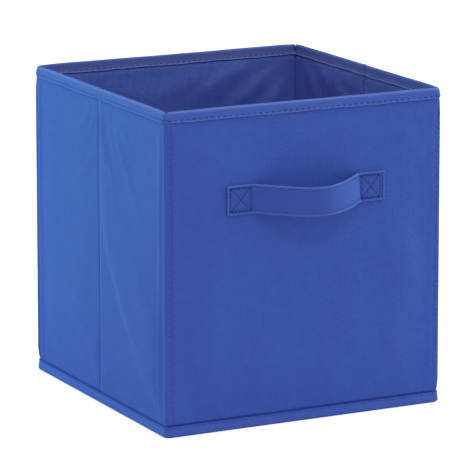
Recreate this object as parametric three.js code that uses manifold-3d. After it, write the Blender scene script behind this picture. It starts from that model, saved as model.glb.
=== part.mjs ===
// A collapsible fabric storage bin: non-woven fabric over board panels, open at the top.
// Millimetres, +Z up. The front wall faces -Y, and the origin is the middle of the underside.
//
// The front and back walls each hold one board. Each side wall holds two half boards, the
// leaves, with a sewn crease between them. Soft corner seams and creases are the hinges: both
// sides fold inward at their creases and the front wall comes back flat against the back wall.

import * as THREE from 'three';
import { mergeVertices } from 'three/addons/utils/BufferGeometryUtils.js';
import Module from 'manifold-3d';

const manifold = await Module();
manifold.setup();

// ---------------------------------------------------------------- driving dimensions

// Overall size, over the rim and hem tapes.
const binWidth = 267;
const binDepth = 267;
const binHeight = 280;

// Sheet goods, and the space left between two sheets that touch.
const coverThickness = 0.6;
const liningThickness = 0.6;
const tapeThickness = 0.6;
const wallBoardThickness = 2;
const sheetGap = 0.3;

// Tapes folded over the raw edges.
const rimTapeHeight = 9.2;
const hemTapeHeight = 9.5;
const hemRollRadius = 1.4;
const hemInnerRadius = 3;

// Seams that act as hinges.
const cornerRadius = 5;
const cornerSeamWidth = 8;
const creaseWidth = 3;
const foldClearance = 1;
const hingeEndGap = 0.4;

// A board is a little smaller than the pocket it slides into.
const pocketClearance = 1.5;
const boardCornerRadius = 4;

// Base: a fabric panel sewn into the hem, and a loose board in a fabric sleeve.
const baseFabricThickness = 0.6;
const baseBoardThickness = 2;
const sleeveThickness = 0.6;
const baseBoardClearance = 2;

// Handles: a folded strap, sewn flat at both ends and bowed out between them.
const strapWidth = 25;
const strapThickness = 2;
const handleSpan = 152;
const handleSewnLength = 24;
const handleDrop = 81;
const handleStandOff = 29;
const handleShoulder = 29.5;
const handleRootBend = 3;
const handleRootReach = 12;

// Facets on the curves.
const arcSteps = 6;
const strapSteps = 20;

// ---------------------------------------------------------------- sizes that follow

// Depth of each layer of a wall, counted inward from the plane of the tapes.
const coverDepth = tapeThickness + sheetGap;
const boardDepth = coverDepth + coverThickness + sheetGap;
const liningDepth = boardDepth + wallBoardThickness + sheetGap;
const innerTapeDepth = liningDepth + liningThickness + sheetGap;
const rimThickness = innerTapeDepth + tapeThickness;

// Both fabrics are sewn together at the seams, with no board between them.
const seamThickness = coverThickness + liningThickness;
const seamTapeThickness = 2 * (tapeThickness + sheetGap) + seamThickness;

// The corner hinge lines stand this far in from the front and back planes, so that a folded
// leaf lies against the wall with foldClearance between their tapes.
const hingeInset = rimThickness + foldClearance;

// Half lengths of the panels along their walls.
const wallHalfLength = binWidth / 2 - cornerSeamWidth;
const leafStart = creaseWidth / 2 + sheetGap;
const leafEnd = binDepth / 2 - hingeInset - hingeEndGap;

// Heights.
const panelBottom = hemTapeHeight + sheetGap;
const panelTop = binHeight - tapeThickness - sheetGap;
const rimTapeBottom = binHeight - rimTapeHeight;

// ---------------------------------------------------------------- colours

const FABRIC_BLUE = 0x4664be;
const LINING_BLUE = 0x4460b4;
const TAPE_BLUE = 0x425cb4;
const BOARD_GREY = 0x9a8f80;

function fabric(colour) {
  return new THREE.MeshStandardMaterial({ color: colour, roughness: 0.85, metalness: 0 });
}

function cardboard() {
  return new THREE.MeshStandardMaterial({ color: BOARD_GREY, roughness: 0.9, metalness: 0 });
}

// ---------------------------------------------------------------- shape helpers

function namedMesh(name, geometry, material) {
  const mesh = new THREE.Mesh(geometry, material);
  mesh.name = name;
  return mesh;
}

// A flat outline in plan, raised from bottom to top.
function raise(outline, bottom, top) {
  const geometry = new THREE.ExtrudeGeometry(outline, { depth: top - bottom, bevelEnabled: false });
  geometry.translate(0, 0, bottom);
  return geometry;
}

// A block between two corners.
function block(low, high) {
  const size = new THREE.Vector3().subVectors(high, low);
  const middle = new THREE.Vector3().addVectors(low, high).multiplyScalar(0.5);
  const geometry = new THREE.BoxGeometry(size.x, size.y, size.z);
  geometry.translate(middle.x, middle.y, middle.z);
  return geometry;
}

function roundedRectangle(left, right, bottom, top, radius) {
  const shape = new THREE.Shape();
  shape.moveTo(left + radius, bottom);
  shape.absarc(right - radius, bottom + radius, radius, -Math.PI / 2, 0, false);
  shape.absarc(right - radius, top - radius, radius, 0, Math.PI / 2, false);
  shape.absarc(left + radius, top - radius, radius, Math.PI / 2, Math.PI, false);
  shape.absarc(left + radius, bottom + radius, radius, Math.PI, 1.5 * Math.PI, false);
  return shape;
}

function toSolid(geometry) {
  const bare = geometry.index ? geometry.toNonIndexed() : geometry.clone();
  bare.deleteAttribute('normal');
  bare.deleteAttribute('uv');
  const merged = mergeVertices(bare, 1e-4);
  const mesh = new manifold.Mesh({
    numProp: 3,
    vertProperties: new Float32Array(merged.attributes.position.array),
    triVerts: new Uint32Array(merged.index.array),
  });
  mesh.merge();
  return new manifold.Manifold(mesh);
}

function toGeometry(solid) {
  const mesh = solid.getMesh();
  const geometry = new THREE.BufferGeometry();
  geometry.setAttribute('position', new THREE.BufferAttribute(mesh.vertProperties, 3));
  geometry.setIndex(new THREE.BufferAttribute(mesh.triVerts, 1));
  geometry.computeVertexNormals();
  return geometry;
}

// ---------------------------------------------------------------- wall panels

// Every wall is drawn in its own frame: x along the wall, y inward from the plane of the
// tapes, z up. A wall's group turns and places that frame.

function sheet(start, end, depth, thickness, bottom, top) {
  return block(new THREE.Vector3(start, depth, bottom), new THREE.Vector3(end, depth + thickness, top));
}

// A die-cut board with rounded corners, standing in its pocket. It stops below the rim tape,
// because the tape is sewn through the fabrics alone.
function wallBoard(start, end) {
  const outline = roundedRectangle(
    start + pocketClearance,
    end - pocketClearance,
    panelBottom + pocketClearance,
    rimTapeBottom - pocketClearance,
    boardCornerRadius,
  );
  const geometry = new THREE.ExtrudeGeometry(outline, {
    depth: wallBoardThickness,
    bevelEnabled: false,
    curveSegments: arcSteps,
  });
  geometry.rotateX(Math.PI / 2);
  geometry.translate(0, boardDepth + wallBoardThickness, 0);
  return geometry;
}

// Section of the tape folded over the rim: two legs joined by a round back.
function rimTapeOutline() {
  const back = rimThickness / 2;
  const bore = back - tapeThickness;
  const shape = new THREE.Shape();
  shape.moveTo(0, rimTapeBottom);
  shape.lineTo(tapeThickness, rimTapeBottom);
  shape.lineTo(tapeThickness, panelTop + sheetGap);
  shape.lineTo(tapeThickness + 2 * bore, panelTop + sheetGap);
  shape.lineTo(tapeThickness + 2 * bore, rimTapeBottom);
  shape.lineTo(rimThickness, rimTapeBottom);
  shape.lineTo(rimThickness, binHeight - tapeThickness);
  shape.lineTo(rimThickness - tapeThickness, binHeight);
  shape.lineTo(tapeThickness, binHeight);
  shape.lineTo(0, binHeight - tapeThickness);
  return shape;
}

function rimTape(start, end) {
  const geometry = new THREE.ExtrudeGeometry(rimTapeOutline(), { depth: end - start, bevelEnabled: false });
  const alongWall = new THREE.Matrix4().makeBasis(
    new THREE.Vector3(0, 1, 0),
    new THREE.Vector3(0, 0, 1),
    new THREE.Vector3(1, 0, 0),
  );
  geometry.applyMatrix4(alongWall);
  geometry.translate(start, 0, 0);
  return geometry;
}

// The layers of one stiff panel, from the outside in, and the tape along its rim.
function addPanel(group, name, start, end) {
  group.add(
    namedMesh(`${name}_cover`, sheet(start, end, coverDepth, coverThickness, panelBottom, panelTop), fabric(FABRIC_BLUE)),
    namedMesh(`${name}_board`, wallBoard(start, end), cardboard()),
    namedMesh(`${name}_lining`, sheet(start, end, liningDepth, liningThickness, panelBottom, panelTop), fabric(LINING_BLUE)),
    namedMesh(`${name}_rim_tape`, rimTape(start, end), fabric(TAPE_BLUE)),
  );
}

// The soft strip between the two leaves of a side wall, and the rim tape that crosses it.
function addCrease(group, name) {
  const half = creaseWidth / 2;
  group.add(
    namedMesh(`${name}_crease`, sheet(-half, half, coverDepth, seamThickness, panelBottom, panelTop), fabric(FABRIC_BLUE)),
    namedMesh(`${name}_crease_rim_tape`, rimTape(-half, half), fabric(TAPE_BLUE)),
  );
}

// ---------------------------------------------------------------- corner seams

// Plan of a strip round a corner of the bin, in the quadrant that signX and signY pick.
// depth and thickness are counted inward from the plane of the tapes. The strip runs along
// the front or back wall to faceReach, and along the side wall to sideReach.
function cornerOutline(signX, signY, depth, thickness, faceReach, sideReach) {
  const outer = cornerRadius - depth;
  const inner = outer - thickness;
  const shape = new THREE.Shape();
  shape.moveTo(faceReach, depth);
  shape.absarc(cornerRadius, cornerRadius, outer, 1.5 * Math.PI, Math.PI, true);
  shape.lineTo(depth, sideReach);
  shape.lineTo(depth + thickness, sideReach);
  shape.absarc(cornerRadius, cornerRadius, inner, Math.PI, 1.5 * Math.PI, false);
  shape.lineTo(faceReach, depth + thickness);
  const placed = shape.getPoints(arcSteps).map(
    (p) => new THREE.Vector2(signX * (binWidth / 2 - p.x), signY * (binDepth / 2 - p.y)),
  );
  return new THREE.Shape(placed);
}

// The two fabrics sewn together round a corner.
function cornerSeam(signX, signY) {
  const outline = cornerOutline(
    signX,
    signY,
    coverDepth,
    seamThickness,
    cornerSeamWidth - sheetGap,
    binDepth / 2 - leafEnd - sheetGap,
  );
  return raise(outline, panelBottom, panelTop);
}

// The rim tape round a corner: a solid strip with a slot for the seam cut up into it.
function cornerRimTape(signX, signY) {
  const faceReach = cornerSeamWidth - sheetGap;
  const sideReach = binDepth / 2 - leafEnd - sheetGap;
  const overrun = 1;
  const strip = cornerOutline(signX, signY, 0, seamTapeThickness, faceReach, sideReach);
  const slot = cornerOutline(
    signX,
    signY,
    tapeThickness,
    seamTapeThickness - 2 * tapeThickness,
    faceReach + overrun,
    sideReach + overrun,
  );
  const whole = toSolid(raise(strip, rimTapeBottom, binHeight));
  const cut = toSolid(raise(slot, rimTapeBottom - overrun, binHeight - tapeThickness));
  return toGeometry(whole.subtract(cut));
}

function addCorner(group, name, signX, signY) {
  group.add(
    namedMesh(`${name}_corner_seam`, cornerSeam(signX, signY), fabric(FABRIC_BLUE)),
    namedMesh(`${name}_corner_rim_tape`, cornerRimTape(signX, signY), fabric(TAPE_BLUE)),
  );
}

// ---------------------------------------------------------------- hem and base

// The hem tape closes the bottom edge all round, and the bin stands on it.
function hemTape() {
  const roll = hemRollRadius;
  const ring = roundedRectangle(
    roll - binWidth / 2,
    binWidth / 2 - roll,
    roll - binDepth / 2,
    binDepth / 2 - roll,
    cornerRadius - roll,
  );
  const inset = rimThickness - roll;
  ring.holes.push(
    roundedRectangle(
      inset - binWidth / 2,
      binWidth / 2 - inset,
      inset - binDepth / 2,
      binDepth / 2 - inset,
      hemInnerRadius + roll,
    ),
  );
  const geometry = new THREE.ExtrudeGeometry(ring, {
    depth: hemTapeHeight - 2 * roll,
    bevelThickness: roll,
    bevelSize: roll,
    bevelSegments: 3,
    curveSegments: arcSteps,
  });
  geometry.translate(0, 0, roll);
  return geometry;
}

function baseFabric() {
  const inset = rimThickness + sheetGap;
  const outline = roundedRectangle(
    inset - binWidth / 2,
    binWidth / 2 - inset,
    inset - binDepth / 2,
    binDepth / 2 - inset,
    hemInnerRadius,
  );
  return raise(outline, 0, baseFabricThickness);
}

// The base board drops in through the rim, so it is cut to clear the tapes there.
const sleeveInset = rimThickness + baseBoardClearance;
const sleeveBottom = baseFabricThickness + sheetGap;
const coreInset = sleeveInset + sleeveThickness + sheetGap;
const coreBottom = sleeveBottom + sleeveThickness + sheetGap;
const coreTop = coreBottom + baseBoardThickness;

function baseBoardCore() {
  const outline = roundedRectangle(
    coreInset - binWidth / 2,
    binWidth / 2 - coreInset,
    coreInset - binDepth / 2,
    binDepth / 2 - coreInset,
    boardCornerRadius,
  );
  return raise(outline, coreBottom, coreTop);
}

// The sleeve is sewn on three sides and open along the back, where the board slides in.
function baseBoardSleeve() {
  const overrun = 1;
  const outside = block(
    new THREE.Vector3(sleeveInset - binWidth / 2, sleeveInset - binDepth / 2, sleeveBottom),
    new THREE.Vector3(
      binWidth / 2 - sleeveInset,
      binDepth / 2 - sleeveInset,
      coreTop + sheetGap + sleeveThickness,
    ),
  );
  const wall = sleeveInset + sleeveThickness;
  const pocket = block(
    new THREE.Vector3(wall - binWidth / 2, wall - binDepth / 2, coreBottom - sheetGap),
    new THREE.Vector3(binWidth / 2 - wall, binDepth / 2 - sleeveInset + overrun, coreTop + sheetGap),
  );
  return toGeometry(toSolid(outside).subtract(toSolid(pocket)));
}

// ---------------------------------------------------------------- handles

const handleHeight = binHeight - handleDrop;
const handleHalfSpan = handleSpan / 2;
const handleRootX = handleHalfSpan - handleSewnLength;
const strapDepth = coverDepth - sheetGap - strapThickness / 2;

// Centre line of the strap in plan, in the wall's frame: flat against the cover, then out and
// round in one bow, and flat again. Bowing out is toward -y.
function strapCentreLine() {
  const path = new THREE.CurvePath();
  const bowed = strapDepth - handleStandOff;
  const point = (x, y) => new THREE.Vector2(x, y);
  path.add(new THREE.LineCurve(point(-handleHalfSpan, strapDepth), point(-handleRootX, strapDepth)));
  path.add(
    new THREE.CubicBezierCurve(
      point(-handleRootX, strapDepth),
      point(-handleRootX + handleRootBend, strapDepth),
      point(-handleShoulder, bowed),
      point(0, bowed),
    ),
  );
  path.add(
    new THREE.CubicBezierCurve(
      point(0, bowed),
      point(handleShoulder, bowed),
      point(handleRootX - handleRootBend, strapDepth),
      point(handleRootX, strapDepth),
    ),
  );
  path.add(new THREE.LineCurve(point(handleRootX, strapDepth), point(handleHalfSpan, strapDepth)));
  return path;
}

// The whole strap, as its centre line thickened to both sides and raised to the strap's width.
function strapSolid() {
  const near = [];
  const far = [];
  const addStation = (curve, share) => {
    const centre = curve.getPoint(share);
    const along = curve.getTangent(share);
    const across = new THREE.Vector2(-along.y, along.x).multiplyScalar(strapThickness / 2);
    near.push(centre.clone().add(across));
    far.unshift(centre.clone().sub(across));
  };
  const { curves } = strapCentreLine();
  for (const curve of curves) {
    const steps = curve instanceof THREE.LineCurve ? 1 : strapSteps;
    for (let i = 0; i < steps; i += 1) addStation(curve, i / steps);
  }
  addStation(curves.at(-1), 1);
  const outline = new THREE.Shape([...near, ...far]);
  return toSolid(raise(outline, handleHeight - strapWidth / 2, handleHeight + strapWidth / 2));
}

// The part of the strap between two places along the wall.
function strapBetween(start, end) {
  const reach = handleStandOff + strapThickness + 1;
  const slab = block(
    new THREE.Vector3(start, strapDepth - reach, 0),
    new THREE.Vector3(end, strapDepth + reach, binHeight),
  );
  return toGeometry(strapSolid().intersect(toSolid(slab)));
}

// The sewn ends and the first of the rise belong to the wall. The loop between them swings up
// and down about the line through the two roots.
const loopHalfWidth = handleRootX - handleRootReach;

function addHandleEnds(group, name) {
  const outer = handleHalfSpan + strapThickness;
  const inner = loopHalfWidth + sheetGap;
  group.add(
    namedMesh(`${name}_handle_left_end`, strapBetween(-outer, -inner), fabric(FABRIC_BLUE)),
    namedMesh(`${name}_handle_right_end`, strapBetween(inner, outer), fabric(FABRIC_BLUE)),
  );
}

function addHandleLoop(group, name) {
  group.add(namedMesh(`${name}_handle_loop`, strapBetween(-loopHalfWidth, loopHalfWidth), fabric(FABRIC_BLUE)));
}

// ---------------------------------------------------------------- assembly

function wallGroup(x, y, turn) {
  const group = new THREE.Group();
  group.position.set(x, y, 0);
  group.rotation.z = turn;
  return group;
}

const bin = new THREE.Group();

const front = wallGroup(0, -binDepth / 2, 0);
addPanel(front, 'front', -wallHalfLength, wallHalfLength);
addHandleEnds(front, 'front');
addHandleLoop(front, 'front');

const back = wallGroup(0, binDepth / 2, Math.PI);
addPanel(back, 'back', -wallHalfLength, wallHalfLength);
addHandleEnds(back, 'back');
addHandleLoop(back, 'back');

// Along the left wall x runs to the front, and along the right wall to the back.
const left = wallGroup(-binWidth / 2, 0, -Math.PI / 2);
addPanel(left, 'left_front', leafStart, leafEnd);
addPanel(left, 'left_rear', -leafEnd, -leafStart);
addCrease(left, 'left');

const right = wallGroup(binWidth / 2, 0, Math.PI / 2);
addPanel(right, 'right_front', -leafEnd, -leafStart);
addPanel(right, 'right_rear', leafStart, leafEnd);
addCrease(right, 'right');

const corners = new THREE.Group();
addCorner(corners, 'front_left', -1, -1);
addCorner(corners, 'front_right', 1, -1);
addCorner(corners, 'back_left', -1, 1);
addCorner(corners, 'back_right', 1, 1);

const base = new THREE.Group();
base.add(
  namedMesh('hem_tape', hemTape(), fabric(TAPE_BLUE)),
  namedMesh('base_fabric', baseFabric(), fabric(LINING_BLUE)),
  namedMesh('base_board_core', baseBoardCore(), cardboard()),
  namedMesh('base_board_sleeve', baseBoardSleeve(), fabric(LINING_BLUE)),
);

bin.add(front, back, left, right, corners, base);

export default bin;
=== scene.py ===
import math

import bmesh
import bpy
import numpy as np
from mathutils import Matrix, Vector


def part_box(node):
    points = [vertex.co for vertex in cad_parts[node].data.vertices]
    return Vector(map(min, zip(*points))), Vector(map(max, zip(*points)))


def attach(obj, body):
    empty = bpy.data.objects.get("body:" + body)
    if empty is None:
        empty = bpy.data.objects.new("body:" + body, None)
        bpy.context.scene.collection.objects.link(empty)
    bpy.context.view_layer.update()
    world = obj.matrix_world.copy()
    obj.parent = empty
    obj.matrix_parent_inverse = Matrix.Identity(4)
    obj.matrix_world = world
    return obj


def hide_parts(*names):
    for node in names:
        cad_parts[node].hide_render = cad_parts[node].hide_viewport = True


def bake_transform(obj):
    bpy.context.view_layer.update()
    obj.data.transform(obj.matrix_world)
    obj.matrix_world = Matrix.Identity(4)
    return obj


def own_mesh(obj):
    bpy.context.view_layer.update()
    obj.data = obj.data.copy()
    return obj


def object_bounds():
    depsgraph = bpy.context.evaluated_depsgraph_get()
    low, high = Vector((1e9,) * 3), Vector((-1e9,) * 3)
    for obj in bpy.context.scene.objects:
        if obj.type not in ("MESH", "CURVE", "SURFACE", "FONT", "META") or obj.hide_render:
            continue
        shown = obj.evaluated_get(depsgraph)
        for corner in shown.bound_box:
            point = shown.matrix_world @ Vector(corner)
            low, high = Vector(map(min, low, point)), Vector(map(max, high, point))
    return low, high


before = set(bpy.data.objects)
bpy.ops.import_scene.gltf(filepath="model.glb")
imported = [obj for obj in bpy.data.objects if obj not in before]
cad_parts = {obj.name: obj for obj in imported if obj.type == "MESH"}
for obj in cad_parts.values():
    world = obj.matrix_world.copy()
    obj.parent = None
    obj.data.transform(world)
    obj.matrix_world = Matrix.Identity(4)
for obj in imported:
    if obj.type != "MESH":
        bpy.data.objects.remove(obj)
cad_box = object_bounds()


# ------------------------------------------------------------------ camera
# A long lens from the left of the front, a little above the rim, so that the verticals
# stay upright and the inside of the back wall shows over the front one.

MM = 0.001
view_azimuth = math.radians(-27.1)
view_elevation = math.radians(12.4)
view_distance = 3.12
lens_mm = 267.4
framing_shift = Vector((2.1 * MM, -4.4 * MM, 0.0))

rim_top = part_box("front_rim_tape")[1][2]
aim = Vector((0.0, 0.0, rim_top / 2))
away = Vector((
    math.sin(view_azimuth) * math.cos(view_elevation),
    -math.cos(view_azimuth) * math.cos(view_elevation),
    math.sin(view_elevation),
))
turned = (-away).to_track_quat("-Z", "Y")

camera_data = bpy.data.cameras.new("camera")
camera_data.lens = lens_mm
camera_data.clip_end = 20
camera = bpy.data.objects.new("camera", camera_data)
camera.location = aim + turned @ framing_shift + away * view_distance
camera.rotation_euler = turned.to_euler()
bpy.context.collection.objects.link(camera)
bpy.context.scene.camera = camera
bpy.context.scene.view_settings.view_transform = "Standard"


# ------------------------------------------------------------------ studio
# Soft light from all round, with a tall softbox on each side, one overhead and a small one
# high in front, which throws the shadow of the handle. The left one stands behind the bin
# and the right one beside it, so the front wall is darkest.

def srgb(code):
    """The linear RGBA of an sRGB hex colour."""
    parts = [int(code[i:i + 2], 16) / 255 for i in (1, 3, 5)]
    return [p / 12.92 if p <= 0.04045 else ((p + 0.055) / 1.055) ** 2.4 for p in parts] + [1.0]


def add_node(tree, kind, settings):
    """The outputs of a new node. Each setting is a property of the node, or a value for
    one of its inputs, or the socket that this input is linked to.
    """
    node = tree.nodes.new(kind)
    for key, value in settings.items():
        if isinstance(value, bpy.types.NodeSocket):
            tree.links.new(value, node.inputs[key])
        elif isinstance(key, int) or key in node.inputs:
            node.inputs[key].default_value = value
        else:
            setattr(node, key, value)
    return node.outputs


def bare_material(name):
    """A material with an empty node tree."""
    made = bpy.data.materials.new(name)
    made.use_nodes = True
    made.node_tree.nodes.clear()
    return made


def softbox(name, place, target, width, height, power, colour="#ffffff"):
    """An area lamp turned to its target."""
    data = bpy.data.lights.new(name, "AREA")
    data.color = srgb(colour)[:3]
    data.shape = "RECTANGLE"
    data.size = width
    data.size_y = height
    data.energy = power
    lamp = bpy.data.objects.new(name, data)
    lamp.location = place
    lamp.rotation_euler = (Vector(target) - Vector(place)).to_track_quat("-Z", "Y").to_euler()
    bpy.context.collection.objects.link(lamp)


middle_of_bin = (0, 0, 0.14)
softbox(
    "softbox_left", place=(-1.15, 1.55, 0.26), target=middle_of_bin,
    width=0.5, height=0.5, power=17.4, colour="#66ddf0",
)
softbox(
    "softbox_right", place=(1.75, -0.2, 0.6), target=middle_of_bin,
    width=0.5, height=0.9, power=14.4, colour="#aef6f0",
)
softbox(
    "softbox_overhead", place=(-0.2, -0.3, 1.9), target=(0, 0, 0.1),
    width=1.0, height=1.0, power=8.5,
)
softbox(
    "softbox_front", place=(-0.2, -1.5, 1.75), target=middle_of_bin,
    width=0.4, height=0.4, power=6.3, colour="#e6edf2",
)

# The bin is lit by a dim sky, and the camera and gloss see a white one.
sky_strength = 0.372

world = bpy.data.worlds.new("studio")
bpy.context.scene.world = world
world.use_nodes = True
sky = world.node_tree
sky.nodes.clear()
light_path = add_node(sky, "ShaderNodeLightPath", {})
seen = add_node(sky, "ShaderNodeMath", {
    "operation": "MAXIMUM", 0: light_path["Is Camera Ray"], 1: light_path["Is Glossy Ray"],
})
dim = add_node(sky, "ShaderNodeBackground", {"Color": srgb("#fffbf7"), "Strength": sky_strength})
white = add_node(sky, "ShaderNodeBackground", {"Color": srgb("#ffffff"), "Strength": 1.0})
both = add_node(sky, "ShaderNodeMixShader", {0: seen[0], 1: dim[0], 2: white[0]})
add_node(sky, "ShaderNodeOutputWorld", {"Surface": both[0]})

# The floor is matt white paper. To the camera it glows a little, which takes it to white
# away from the bin and leaves the shadow under the hem.
floor_z = cad_box[0][2] - 0.1 * MM
floor_glow = 0.64
bpy.ops.mesh.primitive_plane_add(size=12, location=(0, 0, 0))
floor = bpy.context.object
floor.name = "floor"
floor.data.transform(Matrix.Translation((0, 0, floor_z)))
paper = bare_material("matt_white_paper")
paper_path = add_node(paper.node_tree, "ShaderNodeLightPath", {})
paper_glow = add_node(paper.node_tree, "ShaderNodeMath", {
    "operation": "MULTIPLY", 0: paper_path["Is Camera Ray"], 1: floor_glow,
})
paper_shader = add_node(paper.node_tree, "ShaderNodeBsdfPrincipled", {
    "Base Color": srgb("#fffafa"), "Roughness": 0.9, "Specular IOR Level": 0.2,
    "Emission Color": srgb("#ffffff"), "Emission Strength": paper_glow[0],
})
add_node(paper.node_tree, "ShaderNodeOutputMaterial", {"Surface": paper_shader[0]})
floor.data.materials.append(paper)


# ------------------------------------------------------------------ boards
# Six boards of 2 mm grey cardboard, one in the front and one in the back wall, and two in
# each side. They are cut square, lie loose between the cover and the lining, and bow a
# little outward.

half_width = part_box("hem_tape")[1][0]
half_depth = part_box("hem_tape")[1][1]
board_low, board_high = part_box("front_board")
board_thickness = board_high[1] - board_low[1]
board_pitch = 6 * MM

# Where the middle of each wall is, which way runs along it, and which way it faces.
wall_frames = {
    "front": ((0, -half_depth), (1, 0), (0, -1)),
    "left": ((-half_width, 0), (0, -1), (-1, 0)),
    "back": ((0, half_depth), (-1, 0), (0, 1)),
    "right": ((half_width, 0), (0, 1), (1, 0)),
}


def ease(value, start, end):
    """0 before start, 1 after end, and smooth between."""
    share = np.clip((value - start) / (end - start), 0, 1)
    return share * share * (3 - 2 * share)


# Grey board, pressed from waste paper: dull, soft at its cut edges and finely mottled.
pulp_size = 1.11 * MM
cardboard = bare_material("grey_cardboard")
pulp_tree = cardboard.node_tree
pulp_place = add_node(pulp_tree, "ShaderNodeTexCoord", {})
pulp = add_node(pulp_tree, "ShaderNodeTexNoise", {
    0: pulp_place["Object"], "Scale": 1 / pulp_size, "Detail": 4,
})
pulp_tone = add_node(pulp_tree, "ShaderNodeMix", {
    "data_type": "RGBA", 0: pulp[0], 6: srgb("#8f8575"), 7: srgb("#a89e8e"),
})
pulp_relief = add_node(pulp_tree, "ShaderNodeBump", {"Distance": 0.1 * MM, "Height": pulp[0]})
pulp_shader = add_node(pulp_tree, "ShaderNodeBsdfPrincipled", {
    "Base Color": pulp_tone[2], "Normal": pulp_relief[0], "Roughness": 0.85,
    "Specular IOR Level": 0.2,
})
add_node(pulp_tree, "ShaderNodeOutputMaterial", {"Surface": pulp_shader[0]})


def bow(wall, along, up):
    """How far a wall bows outward at each place. Its edges stay put."""
    edge = half_width - np.abs(along)
    ends = ease(up, 8 * MM, 60 * MM) * ease(rim_top - up, 6 * MM, 60 * MM)
    free = ease(edge, 8 * MM, 45 * MM) * ends
    if wall == "front":
        # Its lower left bows out more, and steeply from the corner.
        lower_left = ease(along + half_width, 8 * MM, 34 * MM) * ease(rim_top - up, 30 * MM, 110 * MM)
        lower_left = lower_left * ends * ease(half_width - along, 8 * MM, 60 * MM)
        return (1.7 * free + 1.3 * lower_left) * MM
    if wall == "back":
        return 0 * free
    # A side bows between its corner and its crease.
    return 0.8 * MM * free * ease(np.abs(along), 4 * MM, 40 * MM)


def make_board(node, wall):
    """A flat board cut to size, which takes the bow of its wall."""
    low, high = (Vector(corner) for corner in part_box(node))
    run, face = wall_frames[wall][1:]
    size = high - low
    width, height = abs(size.xy.dot(run)), size.z
    bpy.ops.object.select_all(action="DESELECT")
    bpy.ops.mesh.primitive_grid_add(
        x_subdivisions=round(width / board_pitch), y_subdivisions=round(height / board_pitch),
        size=1, location=(low + high) / 2,
        rotation=(math.pi / 2, 0, math.atan2(run[1], run[0])),
    )
    made = bpy.context.object
    made.name = f"{node}_bowed"
    made.scale = (width, height, 1)
    bpy.ops.object.transform_apply()
    for vertex in made.data.vertices:
        vertex.co += Vector((*face, 0)) * float(bow(wall, vertex.co.xy.dot(run), vertex.co.z))
    solid = made.modifiers.new("thickness", "SOLIDIFY")
    solid.thickness = board_thickness
    solid.offset = 0
    cut = made.modifiers.new("cut_edges", "BEVEL")
    cut.width = 0.3 * MM
    cut.segments = 2
    for modifier in (solid, cut):
        bpy.ops.object.modifier_apply(modifier=modifier.name)
    bpy.ops.object.shade_smooth_by_angle(angle=math.radians(40))
    made.data.materials.append(cardboard)
    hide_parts(node)
    return made


for node, wall, body in (
    ("front_board", "front", "front_wall"),
    ("back_board", "back", "back_wall"),
    ("left_front_board", "left", "left_front_leaf"),
    ("left_rear_board", "left", "left_rear_leaf"),
    ("right_front_board", "right", "right_front_leaf"),
    ("right_rear_board", "right", "right_rear_leaf"),
):
    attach(make_board(node, wall), body)


# ------------------------------------------------------------------ covers
# The outer fabric of the four walls. Front and back are one flat panel each. A side is one
# panel too, sewn down its middle, where it creases when the bin is folded. The fabric is
# a little loose over its boards, so it holds soft folds that run out from the seams.

cover_low, cover_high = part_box("front_cover")
cover_out = half_depth + cover_low[1]
cloth_thickness = cover_high[1] - cover_low[1]
wall_end = cover_high[0]
leaf_end = -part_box("left_front_cover")[0][1]
hem_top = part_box("hem_tape")[1][2]
rim_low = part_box("front_rim_tape")[0][2]
cover_bottom = 3 * MM
cover_top = cover_high[2] - 2.2 * MM
rim_lean = 0.9 * MM
sides = ("left", "right")
# The seam down each side is a little in front of the middle.
crease_place = {"left": 1.9 * MM, "right": -1.9 * MM}


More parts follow.
